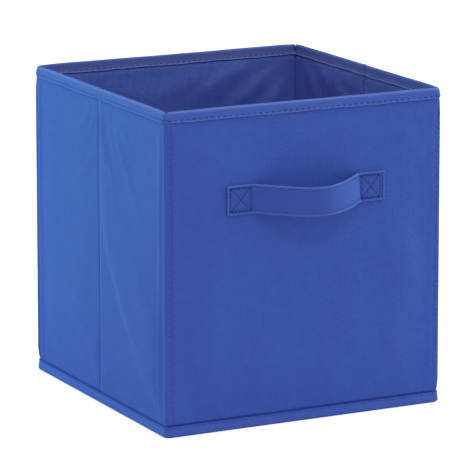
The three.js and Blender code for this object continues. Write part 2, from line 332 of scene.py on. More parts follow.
def non_woven(name, colour, pit_depth, contrast):
    """Spunbonded polypropylene, the cheap non-woven of shopping bags and storage bins.

    It is a felt of fine fibres, pressed between heated rolls that leave a close lattice of
    small pits. It is matt with a faint plastic lustre, and slightly cloudy where the web is
    thicker. Where a mesh asks for it, a highlight is painted into the colour along a fold
    or an edge, and shade, duller and greyer, where a face is turned into the bin.
    """
    material = bare_material(name)
    tree = material.node_tree
    cloth = add_node(tree, "ShaderNodeUVMap", {"uv_map": "cloth"})
    axes = add_node(tree, "ShaderNodeSeparateXYZ", {0: cloth[0]})

    # Bond pits, staggered. The real ones are about 1.4 mm apart, and are drawn at 2.3 mm
    # so that they show.
    pit_across = 2.3 * MM
    pit_up = 2.1 * MM
    waves = []
    for axis, pitch in ((axes[0], pit_across), (axes[1], pit_up)):
        turns = add_node(tree, "ShaderNodeMath", {
            "operation": "MULTIPLY", 0: axis, 1: 2 * math.pi / pitch,
        })
        waves.append(add_node(tree, "ShaderNodeMath", {"operation": "SINE", 0: turns[0]}))
    lattice = add_node(tree, "ShaderNodeMath", {
        "operation": "MULTIPLY", 0: waves[0][0], 1: waves[1][0],
    })
    pits = add_node(tree, "ShaderNodeMapRange", {
        "interpolation_type": "SMOOTHSTEP", 0: lattice[0], "From Min": 0.1, "From Max": 0.75,
    })

    # Bundles of fibres, about 0.3 mm wide and drawn at 0.8 mm so that they show, and the
    # clouds of the web, which are 5 to 15 mm across.
    fibre_size = 0.8 * MM
    cloud_size = 9 * MM
    fibres = add_node(tree, "ShaderNodeTexNoise", {
        0: cloth[0], "Scale": 1 / fibre_size, "Detail": 3, "Roughness": 0.65,
    })
    clouds = add_node(tree, "ShaderNodeTexNoise", {
        0: cloth[0], "Scale": 1 / cloud_size, "Detail": 4, "Roughness": 0.6,
    })

    # Thick web is paler and thin web deeper, and the cloth is deepest where it is pressed.
    base = np.array(srgb(colour))
    pale = list(np.minimum(base * (1 + 0.14 * contrast), 1))
    deep = list(base * (1 - 0.08 * contrast))
    pressed = list(base * (1 - 0.3 * contrast))
    for shade in (pale, deep, pressed):
        shade[3] = 1.0
    web = add_node(tree, "ShaderNodeMix", {"data_type": "RGBA", 0: clouds[0], 6: deep, 7: pale})
    hair = add_node(tree, "ShaderNodeMapRange", {
        0: fibres[0], "From Min": 0.3, "From Max": 0.75, "To Min": 0.0, "To Max": 0.35,
    })
    felt = add_node(tree, "ShaderNodeMix", {"data_type": "RGBA", 0: hair[0], 6: web[2], 7: pale})
    pressed_share = add_node(tree, "ShaderNodeMath", {"operation": "MULTIPLY", 0: pits[0], 1: 0.8})
    tone = add_node(tree, "ShaderNodeMix", {
        "data_type": "RGBA", 0: pressed_share[0], 6: felt[2], 7: pressed,
    })

    # A mesh's painted light is 1 where a highlight is painted in, paler, and -1 where shade is
    # painted in, greyer and duller, for the dimmer light inside the bin.
    painted_highlight = list(base ** 0.75)
    painted_shade = srgb("#6874ba")
    painted_light = add_node(tree, "ShaderNodeAttribute", {"attribute_name": "painted_light"})
    for strength, painted_colour in ((0.8, painted_highlight), (-0.9, painted_shade)):
        share = add_node(tree, "ShaderNodeMath", {
            "operation": "MULTIPLY", "use_clamp": True, 0: painted_light["Fac"], 1: strength,
        })
        tone = add_node(tree, "ShaderNodeMix", {
            "data_type": "RGBA", 0: share[0], 6: tone[2], 7: painted_colour,
        })

    # The fibres stand up and the pits go down.
    fibre_relief = add_node(tree, "ShaderNodeMath", {"operation": "MULTIPLY", 0: fibres[0], 1: 0.35})
    relief = add_node(tree, "ShaderNodeMath", {
        "operation": "SUBTRACT", 0: fibre_relief[0], 1: pits[0],
    })
    pitted = add_node(tree, "ShaderNodeBump", {
        "Strength": 1.0, "Distance": pit_depth, "Height": relief[0],
    })
    shader = add_node(tree, "ShaderNodeBsdfPrincipled", {
        "Base Color": tone[2], "Normal": pitted[0], "Roughness": 0.66, "IOR": 1.49,
        "Specular IOR Level": 0.22, "Sheen Weight": 0.08, "Sheen Roughness": 0.45,
        "Sheen Tint": srgb("#8fa4f0"),
    })
    add_node(tree, "ShaderNodeOutputMaterial", {"Surface": shader[0]})
    return material


cover_fabric = non_woven("spunbond_cover", "#4664c8", pit_depth=0.24 * MM, contrast=1.3)


def on_wall(wall, along, out, up):
    """Points of a wall: along it, outward from the plane of the tapes, and up."""
    place, run, face = wall_frames[wall]
    along, out, up = np.broadcast_arrays(along, out, up)
    return np.stack([
        place[0] + run[0] * along + face[0] * out,
        place[1] + run[1] * along + face[1] * out,
        up,
    ], axis=-1)


def stations(start, end, pitch, fine=()):
    """Places from start to end, pitch apart, with closer ones round each fine place."""
    places = list(np.linspace(start, end, max(2, round((end - start) / pitch) + 1)))
    for middle, reach, step in fine:
        low, high = max(start, middle - reach), min(end, middle + reach)
        places = [p for p in places if not low < p < high]
        places += list(np.linspace(low, high, round((high - low) / step) + 1))
    return np.array(sorted(set(np.round(places, 7))))


def bump(value, middle, width):
    """A bell of height 1."""
    return np.exp(-(((value - middle) / width) ** 2))


def grid_mesh(name, points, measure, material, closed=False, thickness=0.0, painted_light=None):
    """A grid of points as a sheet of cloth, with its own measure in metres as UV map.

    Rows run up and columns run along, and its face is to the side from which along is
    rightward. A thickness is given behind the face. A closed one joins its last column
    to its first. The painted light is given point by point: above 0 a highlight painted
    into the colour, below 0 painted shade.
    """
    rows, columns = points.shape[:2]
    faces = []
    corners = []
    for i in range(rows - 1):
        for j in range(columns if closed else columns - 1):
            k = (j + 1) % columns
            low, high = i * columns, (i + 1) * columns
            faces.append((low + j, low + k, high + k, high + j))
            step = measure[i, 1] - measure[i, 0]
            right = measure[i, j] + step if k == 0 else measure[i, k]
            upper_right = measure[i + 1, j] + step if k == 0 else measure[i + 1, k]
            corners += [measure[i, j], right, upper_right, measure[i + 1, j]]
    mesh = bpy.data.meshes.new(name)
    mesh.from_pydata([tuple(p) for p in points.reshape(-1, 3)], [], faces)
    layer = mesh.uv_layers.new(name="cloth")
    layer.data.foreach_set("uv", np.array(corners, np.float32).ravel())
    mesh.polygons.foreach_set("use_smooth", [True] * len(mesh.polygons))
    if painted_light is not None:
        painted_layer = mesh.attributes.new("painted_light", "FLOAT", "POINT")
        painted_layer.data.foreach_set("value", painted_light.astype(np.float32).ravel())
    mesh.materials.append(material)
    made = bpy.data.objects.new(name, mesh)
    bpy.context.collection.objects.link(made)
    if thickness:
        bpy.ops.object.select_all(action="DESELECT")
        made.select_set(True)
        bpy.context.view_layer.objects.active = made
        solid = made.modifiers.new("thickness", "SOLIDIFY")
        solid.thickness = thickness
        solid.offset = -1
        bpy.ops.object.modifier_apply(modifier=solid.name)
        bpy.ops.object.shade_smooth_by_angle(angle=math.radians(60))
    return made


def fold(along, up, path, height, left_width, right_width):
    """A soft raised line through three places of a wall, given in mm, along and up.

    It falls away over its own width on each side, and fades toward both ends. Left and
    right are as seen when going along the line.
    """
    start, middle, end = (np.array(p) * MM for p in path)
    control = 2 * middle - (start + end) / 2
    share = np.linspace(0, 1, 40)[:, None]
    line = (1 - share) ** 2 * start + 2 * share * (1 - share) * control + share ** 2 * end
    heading = np.gradient(line, axis=0)
    heading /= np.linalg.norm(heading, axis=1)[:, None]
    gap = np.stack([along, up], axis=-1)[..., None, :] - line
    distance = np.linalg.norm(gap, axis=-1)
    nearest = distance.argmin(axis=-1)
    close = np.take_along_axis(distance, nearest[..., None], axis=-1)[..., 0]
    offset = np.take_along_axis(gap, nearest[..., None, None], axis=-2)[..., 0, :]
    side = heading[nearest, 0] * offset[..., 1] - heading[nearest, 1] * offset[..., 0]
    width = np.where(side > 0, left_width, right_width) * MM
    fade = np.sin(np.pi * np.clip(share[nearest, 0], 0.02, 0.98)) ** 0.5
    return height * MM * fade * np.exp(-0.5 * (close / width) ** 2)


def ripple(along, up, length, height, seed):
    """Uneven slackness: waves in many directions, of a length and height in mm."""
    draw = np.random.default_rng(seed)
    waves = 14
    total = np.zeros_like(along)
    for _ in range(waves):
        turn = draw.uniform(0, 2 * math.pi)
        wave = 2 * math.pi / (length * MM * draw.uniform(0.7, 1.6))
        way = along * math.cos(turn) + up * math.sin(turn)
        total += np.cos(wave * way + draw.uniform(0, 2 * math.pi))
    return height * MM * total / waves ** 0.5


# The folds that each cover holds: three places along and up the wall, a height, and the
# widths on its two sides, all in mm.
front_folds = (
    ((-82, 190), (-90, 110), (-84, 20), 0.9, 9, 9),
    ((-58, 110), (-44, 70), (-50, 16), 0.8, 10, 8),
    ((-30, 258), (0, 246), (60, 252), 0.6, 7, 9),
    ((76, 178), (100, 130), (112, 50), 1.6, 8, 16),
    ((96, 120), (84, 80), (92, 24), 0.9, 8, 8),
    ((16, 20), (38, 90), (52, 150), 1.0, 12, 16),
    ((88, 258), (104, 234), (122, 204), 0.9, 5, 9),
    ((30, 256), (74, 244), (118, 248), 0.5, 5, 7),
    ((-112, 262), (-100, 246), (-70, 240), 0.5, 5, 7),
)
left_folds = (
    ((14, 204), (54, 108), (134, 24), 4.6, 40, 8),
    ((3, 268), (14, 238), (22, 214), 1.1, 2.4, 4.5),
    ((9, 262), (26, 222), (46, 174), 0.8, 2.2, 4),
    ((24, 262), (33, 240), (42, 220), 0.6, 2, 3),
    ((32, 262), (60, 220), (97, 165), 0.7, 3, 5),
    ((44, 256), (60, 244), (78, 230), 0.8, 2.2, 4),
    ((16, 226), (26, 190), (32, 140), 0.5, 3, 5),
    ((42, 266), (52, 263), (64, 261), 0.5, 2, 2),
    ((94, 267), (108, 263), (122, 258), 0.7, 2, 3),
    ((90, 258), (106, 252), (124, 250), 0.6, 2.4, 3),
    ((70, 150), (100, 110), (122, 80), 0.9, 6, 9),
    ((-4, 266), (-9, 252), (-18, 238), 0.7, 3, 2),
    ((-8, 262), (-22, 250), (-34, 244), 0.6, 2.5, 2.5),
    ((-3, 240), (-16, 214), (-44, 190), 0.3, 4, 3),
    ((-6, 120), (-50, 160), (-110, 176), 0.9, 9, 12),
    ((-4, 30), (-30, 60), (-80, 90), 0.9, 7, 10),
)
back_folds = (
    ((-98, 230), (-90, 130), (-104, 30), 1.6, 10, 16),
    ((106, 220), (94, 120), (110, 24), 1.4, 16, 10),
    ((-70, 60), (-20, 96), (40, 88), 1.0, 12, 12),
    ((-30, 250), (20, 236), (70, 252), 0.8, 8, 8),
)
right_folds = (
    ((-2, 180), (-40, 100), (-118, 14), 3.2, 10, 24),
    ((4, 266), (24, 210), (60, 160), 1.3, 6, 4),
    ((-6, 266), (-24, 214), (-56, 170), 1.1, 4, 6),
    ((8, 60), (50, 90), (110, 96), 1.0, 10, 12),
)
# For each wall its folds, the height in mm of its waves, and their seed.
slack = {
    "front": (front_folds, 0.45, 5),
    "left": (left_folds, 0.4, 11),
    "back": (back_folds, 0.45, 21),
    "right": (right_folds, 0.4, 31),
}


def between_tapes(up):
    """0 at the hem and the rim, where the tapes hold the cloth, and 1 between them."""
    return ease(up, hem_top - 2 * MM, hem_top + 12 * MM) * ease(rim_low - up, -1 * MM, 14 * MM)


def off_board(loose):
    """Cloth stands off its board where its slackness is above 0, and lies on it elsewhere."""
    rounding = 0.2 * MM
    return 0.5 * (loose + np.sqrt(loose * loose + rounding ** 2))


def before_seam(wall, along):
    """How far in front of the seam of a side each place is."""
    return (along - crease_place[wall]) * (1 if wall == "left" else -1)


def leant(height, up):
    """The rim leans inward, and so do the cloths that end in it."""
    return height - rim_lean * ease(up, rim_low + 2 * MM, rim_top)


def cover_height(wall, along, up):
    """How far the face of the cover stands out from the plane of the tapes."""
    folds, waviness, seed = slack[wall]
    loose = ripple(along, up, length=85, height=waviness, seed=seed)
    loose = loose + ripple(along, up, length=26, height=0.05, seed=seed + 1)
    for start, middle, end, *size in folds:
        loose = loose + fold(along, up, (start, middle, end), *size)
    edge = half_width - np.abs(along)
    loose = loose * ease(edge, 4 * MM, 20 * MM)
    # The cloth puffs over the end of the board before it drops into the corner seam.
    puff = 0.45 * MM
    # It is drawn in along its lower tape, and tucked under the upper one.
    drawn = 1.2 * MM * bump(up, hem_top + 0.2 * MM, 1.15 * MM)
    tucked = 0.2 * MM * bump(up, rim_low, 1.6 * MM)
    if wall in sides:
        from_seam = before_seam(wall, along)
        loose = loose * (0.05 + 0.95 * ease(np.abs(from_seam), 1.5 * MM, 8 * MM))
        puff = 0.85 * MM
        drawn = 0.5 * MM * bump(up, hem_top + 0.2 * MM, 1.15 * MM)
        tucked = 0.6 * MM * bump(up, rim_low, 0.9 * MM)
    lifted = off_board(loose + puff * bump(edge, 10.5 * MM, 3 * MM))
    height = -cover_out + between_tapes(up) * (bow(wall, along, up) + lifted)
    if wall in sides:
        # In front of its seam the cloth rises to a lip, which dies away toward the corner.
        lip = 1.35 * MM * np.clip(from_seam / (5.2 * MM), 0, 1)
        lip = lip * (1 - 0.85 * ease(from_seam, 5 * MM, 40 * MM))
        groove_width = np.where(from_seam < 0, 1.6 * MM, 0.5 * MM)
        groove = 1.5 * MM * np.exp(-np.abs(from_seam) / groove_width)
        height = height + (0.3 + 0.7 * between_tapes(up)) * (lip - groove)
    return leant(height - tucked - drawn, up)


def panel_stations(wall, pitch, fine_pitch):
    """Columns of a panel. A side's are closer at its seam, and keep off the line it folds on."""
    if wall in ("front", "back"):
        return stations(-wall_end, wall_end, pitch)
    places = stations(-leaf_end, leaf_end, pitch, ((crease_place[wall], 7 * MM, fine_pitch),))
    return places[np.abs(places) > 0.5 * MM]


def cover_panel(wall):
    """The cover of one wall. A side's has a highlight painted along the lip of its crease."""
    pitch = 1.7 * MM if wall == "left" else 2.4 * MM
    fine_up = ((hem_top, 4 * MM, 0.6 * MM), (rim_low, 4 * MM, 0.7 * MM))
    along, up = np.meshgrid(
        panel_stations(wall, pitch, 0.5 * MM), stations(cover_bottom, cover_top, pitch, fine_up),
    )
    points = on_wall(wall, along, cover_height(wall, along, up), up)
    painted_light = np.zeros_like(along)
    if wall in sides:
        # A highlight painted into the colour along the lip in front of the seam.
        painted_light = 1.5 * bump(before_seam(wall, along), 2.1 * MM, 1.4 * MM)
    return grid_mesh(
        f"{wall}_outer_cover", points, np.stack([along, up], axis=-1), cover_fabric,
        thickness=cloth_thickness, painted_light=painted_light,
    )


def crease(made):
    """Bakes the transform of cloth that crosses the middle of a side into its points. The real cloth
    doubles over sharply there; this mesh stays unfolded.
    """
    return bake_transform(made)


for wall in ("front", "back"):
    cover = cover_panel(wall)
    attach(cover, f"{wall}_wall")
    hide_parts(f"{wall}_cover")

for wall in sides:
    cover = crease(cover_panel(wall))
    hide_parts(f"{wall}_rear_cover", f"{wall}_front_cover", f"{wall}_crease")


# ------------------------------------------------------------------ linings
# The inner fabric, cut like the cover, on the inner side of the boards. It is slacker than
# the cover, and hangs in shallow slanting folds from the rim.

# The same cloth in a looser, cheaper grade, whose pits show more.
lining_fabric = non_woven("spunbond_lining", "#5c72ca", pit_depth=0.32 * MM, contrast=2.2)
lining_out = half_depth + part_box("front_lining")[1][1]
lining_bottom = 1.2 * MM
lining_top = rim_low + 1 * MM
lining_folds = {
    "front": (((-60, 240), (-20, 150), (40, 90), 1.4, 12, 16),),
    "back": (
        ((-84, 272), (-56, 258), (-26, 236), 1.5, 4, 8),
        ((-114, 268), (-92, 250), (-58, 222), 1.5, 4, 9),
        ((-118, 250), (-96, 224), (-56, 196), 1.7, 5, 10),
        ((-122, 232), (-84, 180), (-40, 150), 2.0, 8, 14),
        ((-40, 262), (10, 246), (70, 250), 0.9, 7, 8),
        ((20, 230), (60, 180), (110, 140), 1.4, 14, 10),
    ),
    "left": (
        ((10, 262), (40, 200), (100, 120), 0.8, 8, 12),
        ((-8, 262), (-40, 200), (-100, 150), 0.7, 10, 8),
    ),
    "right": (
        ((90, 272), (50, 267), (8, 258), 1.3, 7, 3),
        ((84, 271), (72, 262), (56, 246), 1.1, 6, 3),
        ((60, 262), (40, 250), (14, 240), 1.0, 6, 3),
        ((104, 268), (96, 250), (80, 230), 0.9, 6, 4),
        ((-6, 262), (-36, 200), (-90, 130), 1.1, 8, 12),
    ),
}


def lining_face(wall, along, up):
    """How far out the inner face of the lining is, from the plane of the tapes: below 0."""
    waviness = 0.2 if wall in sides else 0.35
    loose = ripple(along, up, length=60, height=waviness, seed=41 + len(wall))
    loose = loose + ripple(along, up, length=22, height=0.06, seed=51 + len(wall))
    for start, middle, end, *size in lining_folds[wall]:
        loose = loose + fold(along, up, (start, middle, end), *size)
    edge = half_width - np.abs(along)
    free = ease(edge, 5 * MM, 22 * MM) * ease(up, 2 * MM, 20 * MM) * ease(rim_low - up, -2 * MM, 16 * MM)
    face = -lining_out + between_tapes(up) * bow(wall, along, up) - 1.5 * free * off_board(loose)
    # Under the inner edge of the rim's strip it is pressed against the cover.
    face = face + 1.7 * MM * ease(up, rim_low - 1.3 * MM, rim_low + 1.5 * MM)
    if wall in sides:
        # It dips into the seam between two soft lips.
        from_seam = np.abs(along - crease_place[wall])
        face = face - 0.7 * MM * bump(from_seam, 4.2 * MM, 1.6 * MM) * free
        face = face + 2.2 * MM * bump(from_seam, 0, 1.5 * MM) * (0.7 + 0.3 * free)
    return leant(face, up)


def lining_panel(wall):
    """The lining of one wall, with its columns the other way round, so that it faces in."""
    pitch = 3 * MM
    along, up = np.meshgrid(
        panel_stations(wall, pitch, 0.6 * MM)[::-1], stations(lining_bottom, lining_top, pitch),
    )
    points = on_wall(wall, along, lining_face(wall, along, up), up)
    return grid_mesh(
        f"{wall}_inner_lining", points, np.stack([-along, up], axis=-1), lining_fabric,
        thickness=cloth_thickness,
    )


for wall in ("front", "back"):
    lining = lining_panel(wall)
    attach(lining, f"{wall}_wall")
    if wall == "back":
        # The sides are pressed against it when the bin is folded.
        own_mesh(lining)
    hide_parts(f"{wall}_lining")

for wall in sides:
    lining = crease(lining_panel(wall))
    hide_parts(f"{wall}_rear_lining", f"{wall}_front_lining")


# ------------------------------------------------------------------ corners
# At each upright corner the cover and the lining are sewn to each other, with no board
# between, so the corner bends freely. The seam runs on the front and the back, beside the
# corner, and the cloth drops off the board to it and turns the corner in a crisp fold.

corner_radius = 5 * MM
corner_straight = half_width - corner_radius - wall_end
corner_arc = corner_radius * math.pi / 2
corner_length = corner_straight + corner_arc + half_width - corner_radius - leaf_end
corner_middle = corner_straight + corner_arc / 2
seam_place = corner_straight + 0.1 * corner_arc
seam_pitch = 5.2 * MM
# The lining turns the corner well inside the cover, so it is cut narrower there. It laps
# the linings of the walls by a millimetre.
lining_lap = 1 * MM
# How much each corner drops off the board, how crisp its fold is, and how far all of it
# is drawn in, in mm.
corner_shapes = {
    "front_left": (1.0, 1.0, 0.0),
    "front_right": (0.35, 0.3, 0.1),
    "back_left": (0.5, 0.3, -0.5),
    "back_right": (1.0, 0.6, 0.3),
}
# Which way each corner is from the middle of the bin, and the bodies it joins. The front
# right corner is the open pivot of the walls, and stays with the front wall.
corner_signs = {
    "front_left": (-1, -1),
    "front_right": (1, -1),
    "back_left": (-1, 1),
    "back_right": (1, 1),
}
corner_bodies = {
    "front_left": ("front_wall", "left_front_leaf"),
    "back_left": ("back_wall", "left_rear_leaf"),
    "back_right": ("back_wall", "right_rear_leaf"),
}


def on_corner(corner, run, out, up):
    """Points of a corner: run goes from the end of the front or back panel, round it."""
    run, out, up = np.broadcast_arrays(run, out, up)
    turn = np.clip((run - corner_straight) / corner_radius, 0, math.pi / 2)
    before = np.minimum(run - corner_straight, 0)
    after = np.maximum(run - corner_straight - corner_arc, 0)
    centre = half_width - corner_radius
    x = centre + before + (corner_radius + out) * np.sin(turn)
    y = centre - after + (corner_radius + out) * np.cos(turn)
    sign_x, sign_y = corner_signs[corner]
    return np.stack([sign_x * x, sign_y * y, up], axis=-1)


def from_walls(corner, run, up, height):
    """A height given for walls, carried round the corner from one wall to the other."""
    first, second = corner.split("_")
    sign_x, sign_y = corner_signs[corner]
    along_first = (wall_end + run) * (sign_x if first == "front" else -sign_x)
    along_second = (leaf_end + corner_length - run) * (-sign_y if second == "left" else sign_y)
    share = ease(run, corner_straight, corner_straight + corner_arc)
    one = height(first, along_first, up)
    two = height(second, along_second, up)
    return one + (two - one) * share


def runs_leftward(corner):
    """Whether a corner runs leftward as seen from outside, and so has to be turned over."""
    sign_x, sign_y = corner_signs[corner]
    return sign_x * sign_y > 0


def corner_order(corner, run):
    """Along a corner in the order that faces it outward."""
    return run[:, ::-1] if runs_leftward(corner) else run


def corner_cover_height(corner, run, up):
    """How far the cover of a corner stands out from the corner of the tapes."""
    drop, crisp, drawn = corner_shapes[corner]
    # Off the end of the board it drops, less so near the hem.
    dropped = 1.35 * MM * ease(run, -0.2 * MM, 1.4 * MM) * ease(6.6 * MM - run, 0, 5.6 * MM)
    dropped = dropped * (0.35 + 0.65 * ease(up, 15 * MM, 90 * MM))
    # The turn itself stands up as a crisp fold.
    folded = 1.1 * MM * bump(run, corner_straight + 0.58 * corner_arc, 1.5 * MM)
    # Two corners fill out toward their foot.
    fuller = 0.9 * MM * (1 - up / rim_top) if corner in ("front_right", "back_left") else 0.0
    span = ease(run, 0, 3.6 * MM) * ease(corner_length - run, 0, 3.6 * MM)
    # The seam draws the cloth in, and puckers it from stitch to stitch.
    pucker = 1 + 0.3 * np.cos(2 * math.pi * up / seam_pitch)
    pucker = pucker + 0.2 * np.sin(up / (17 * MM) + len(corner))
    sewn = 0.4 * MM * bump(run, seam_place, 0.9 * MM) * pucker
    pinch = drop * dropped - crisp * folded + (drawn * MM - fuller) * span + sewn
    return from_walls(corner, run, up, cover_height) - between_tapes(up) * pinch


def corner_lining_face(corner, run, up):
    """The same for the inner face of a corner's lining, which the seam pulls to the cover."""
    loose_face = from_walls(corner, run, up, lining_face)
    sewn_face = corner_cover_height(corner, run, up) - 2.1 * cloth_thickness
    sewn_face = np.maximum(sewn_face, -lining_out)
    sewn = 0.5 * between_tapes(up) * bump(run, corner_middle, 1.3 * MM)
    return loose_face + (sewn_face - loose_face) * sewn - 0.1 * MM


def attach_corner(made, corner):
    """A corner's cloth: the front right one is attached to the front wall, and the others have their
    transform baked into their points. The real cloth bends from its wall to its side, round the upright
    line between.
    """
    if corner not in corner_bodies:
        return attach(made, "front_wall")
    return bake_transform(made)


for corner in corner_signs:
    fine_up = ((hem_top, 4 * MM, 0.8 * MM), (rim_low, 3 * MM, 0.8 * MM))
    run, up = np.meshgrid(
        stations(0, corner_length, 0.8 * MM, ((seam_place, 1.6 * MM, 0.4 * MM),)),
        stations(2 * cover_bottom, cover_top - 1.5 * MM, seam_pitch / 4, fine_up),
    )
    run = corner_order(corner, run)
    points = on_corner(corner, run, corner_cover_height(corner, run, up), up)
    cover_corner = grid_mesh(
        f"{corner}_corner_cover", points, np.stack([run, up], axis=-1), cover_fabric,
        thickness=cloth_thickness,
    )
    attach_corner(cover_corner, corner)
    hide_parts(f"{corner}_corner_seam")

    run, up = np.meshgrid(
        stations(-lining_lap, corner_length + lining_lap, 0.6 * MM),
        stations(lining_bottom + 1.3 * MM, lining_top, 4 * MM),
    )
    run = corner_order(corner, run)[:, ::-1]
    points = on_corner(corner, run, corner_lining_face(corner, run, up), up)
    lining_corner = grid_mesh(
        f"{corner}_corner_lining", points, np.stack([run, up], axis=-1), lining_fabric,
        thickness=cloth_thickness,
    )
    attach_corner(lining_corner, corner)


# ------------------------------------------------------------------ rim
# A strip of the same fabric folded over the rim, its lower edges turned under, and sewn
# through with one row each way. It draws in along the stitches and is full between them.

# A tighter grade, pressed flat under the sewing foot.
tape_fabric = non_woven("spunbond_tape", "#4c69c9", pit_depth=0.12 * MM, contrast=1.0)
rim_depth = 3.4 * MM
corner_depth = 2.6 * MM
rim_row = rim_low + 1.9 * MM
rim_pitch = 5.7 * MM
rim_turned_under = 0.5 * MM
rim_leg = np.linspace(0, 1, 17)
rim_arch = np.linspace(0, math.pi, 13)[1:-1]


def holes_on(start, end, pitch):
    """Needle holes from start to end, as evenly as they fit."""
    return np.linspace(start, end, round((end - start) / pitch) + 1)


def near_hole(place, holes, width):
    """1 at each needle hole, falling to 0 between them."""
    return np.exp(-((np.abs(place[..., None] - holes).min(axis=-1) / width) ** 2))


def rim_draw(up):
    """The strip stands out from its stitches, a little above them and more below."""
    above = 0.42 * MM * ease(up, rim_row, rim_row + 4.5 * MM)
    below = 0.5 * MM * ease(rim_row - up, 0, 1.7 * MM)
    return above + below - 0.42 * MM


def rim_section(depth, drop, near, wander):
    """The section of the rim's strip: how far out and up it is, from the turned-under
    outer edge over the top to the inner one. Each argument is one value for a station.
    """
    half = depth / 2
    leg_up = rim_low + (rim_top - rim_low - half) * rim_leg
    pressed = rim_draw(leg_up) - 0.3 * MM * near * bump(leg_up, rim_row, 0.9 * MM)
    spread = 1.7 * MM * (1 - rim_leg) ** 1.4
    low = wander * (1 - rim_leg)
    outer = np.stack([pressed, leg_up + low], axis=-1)
    top = np.stack([-half + half * np.cos(rim_arch), rim_top - half + half * np.sin(rim_arch)], axis=-1)
    inner = np.stack([-depth - pressed - spread, leg_up - low], axis=-1)[::-1]
    hook = np.array([
        (-rim_turned_under, rim_low + 1.6 * MM),
        (-rim_turned_under, rim_low + 0.3 * MM),
        (-0.1 * MM, rim_low - 0.05 * MM),
    ])
    end_hook = hook[::-1] * (-1, 1) - (depth + spread[0], 0)
    hook[:, 1] += wander
    end_hook[:, 1] -= wander
    section = np.concatenate([hook, outer, top, inner, end_hook])
    lowered = drop * ease(section[:, 1], rim_low + 3 * MM, rim_top)
    return np.stack([leant(section[:, 0], section[:, 1]), section[:, 1] - lowered], axis=-1)


# Painted light along the section: a highlight painted on its lower edge and on its outer
# fold, and past the top painted shade, duller and greyer, for the dimmer light inside the bin.
rim_fold = np.cos(rim_arch - 0.5)
rim_painted_light = np.concatenate([
    np.full(3, 0.9),
    0.4 * rim_leg ** 14 + 0.9 * (1 - rim_leg) ** 12,
    np.where(rim_fold > 0, 1.25 * rim_fold ** 4, rim_fold),
    np.full(len(rim_leg) + 3, -1.0),
])


def strip_measure(places, sections, station):
    """The measure of a strip along it and round its section, and its width, as they are at
    one station.
    """
    steps = np.linalg.norm(np.diff(sections[:, station], axis=0), axis=-1)
    travelled = np.concatenate([[0], np.cumsum(steps)])
    measure = np.stack(np.broadcast_arrays(places[None, :], travelled[:, None]), axis=-1)
    return measure, travelled[-1]


def rim_grid(name, places, depths, drops, holes, carry, phase):
    """A length of rim strip, and its width. carry turns (place, out, up) into points."""
    near = near_hole(places, holes, 0.8 * MM)
    wander = 0.22 * MM * np.sin(places / (13 * MM) + phase)
    wander = wander + 0.12 * MM * np.sin(places / (4.1 * MM) + 2 * phase)
    sections = np.stack([rim_section(*values) for values in zip(depths, drops, near, wander)], axis=1)
    points = carry(np.broadcast_to(places, sections.shape[:2]), sections[..., 0], sections[..., 1])
    measure, width = strip_measure(places, sections, len(places) // 2)
    painted_light = np.broadcast_to(rim_painted_light[:, None], sections.shape[:2])
    return grid_mesh(name, points, measure, tape_fabric, painted_light=painted_light), width


def rim_sag(along, phase):
    """The top of the rim isn't quite straight."""
    long_wave = 0.12 * MM * np.sin(along / (31 * MM) + phase)
    short_wave = 0.06 * MM * np.sin(along / (9 * MM) + 3 * phase)
    return long_wave + short_wave - 0.2 * MM


rim_holes = {}
for phase, wall in enumerate(wall_frames):
    end = leaf_end if wall in sides else wall_end
    rim_holes[wall] = holes_on(-end, end, rim_pitch)
    fine = ((crease_place[wall], 3 * MM, 0.35 * MM),) if wall in sides else ()
    places = stations(-end, end, rim_pitch / 6, fine)
    drops = rim_sag(places, phase) * ease(end - np.abs(places), 0, 12 * MM)
    depths = np.full_like(places, rim_depth)
    if wall in sides:
        # A nick at the crease, and a little swell behind it.
        from_seam = before_seam(wall, places)
        drops = drops + 1.1 * MM * bump(from_seam, 0.2 * MM, 1.0 * MM)
        drops = drops - 0.5 * MM * bump(from_seam, -2.2 * MM, 1.8 * MM)

    def carry(place, out, up):
        pinched = 0.0
        if wall in sides:
            inward = np.clip(-out / rim_depth, 0, 1)
            pinched = (0.5 - 2.5 * inward) * MM * bump(place, crease_place[wall], 1.1 * MM)
        return on_wall(wall, place, out - pinched, up)

    rim, strip_width = rim_grid(
        f"{wall}_rim_binding", places, depths, drops, rim_holes[wall], carry, phase,
    )
    if wall in sides:
        crease(rim)
        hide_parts(f"{wall}_rear_rim_tape", f"{wall}_front_rim_tape", f"{wall}_crease_rim_tape")
    else:
        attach(rim, f"{wall}_wall")
        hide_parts(f"{wall}_rim_tape")

# Round a corner the strip is thinner, and crumples into a notch at its middle.
corner_holes = holes_on(0, corner_length, rim_pitch)
for phase, corner in enumerate(corner_signs):
    places = stations(0, corner_length, 0.4 * MM)
    narrow = ease(places, 0, corner_middle) * ease(corner_length - places, 0, corner_length - corner_middle)
    depths = rim_depth + (corner_depth - rim_depth) * narrow
    notched = 1.8 * MM if corner in ("front_left", "back_right") else 0.4 * MM
    drops = 0.3 * MM * bump(places, corner_middle, 3.4 * MM)
    drops = drops + notched * bump(places, corner_middle, 1.3 * MM)
    if runs_leftward(corner):
        places, depths, drops = places[::-1], depths[::-1], drops[::-1]

    def carry(place, out, up):
        inward = np.clip(-out / corner_depth, 0, 1)
        notch = (0.6 - 1.4 * inward) * MM * bump(place, corner_middle, 0.9 * MM)
        inside = ease(place, 0, 3 * MM) * ease(corner_length - place, 0, 3 * MM)
        edges = ease(up, rim_row, rim_top) + 1 - ease(up, rim_low, rim_row + 1 * MM)
        rounded = 0.7 * MM * inside * edges
        return on_corner(corner, place, out - notch - rounded, up)

    rim, strip_width = rim_grid(
        f"{corner}_corner_rim_binding", places, depths, drops, corner_holes, carry, phase,
    )
    attach_corner(rim, corner)
    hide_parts(f"{corner}_corner_rim_tape")


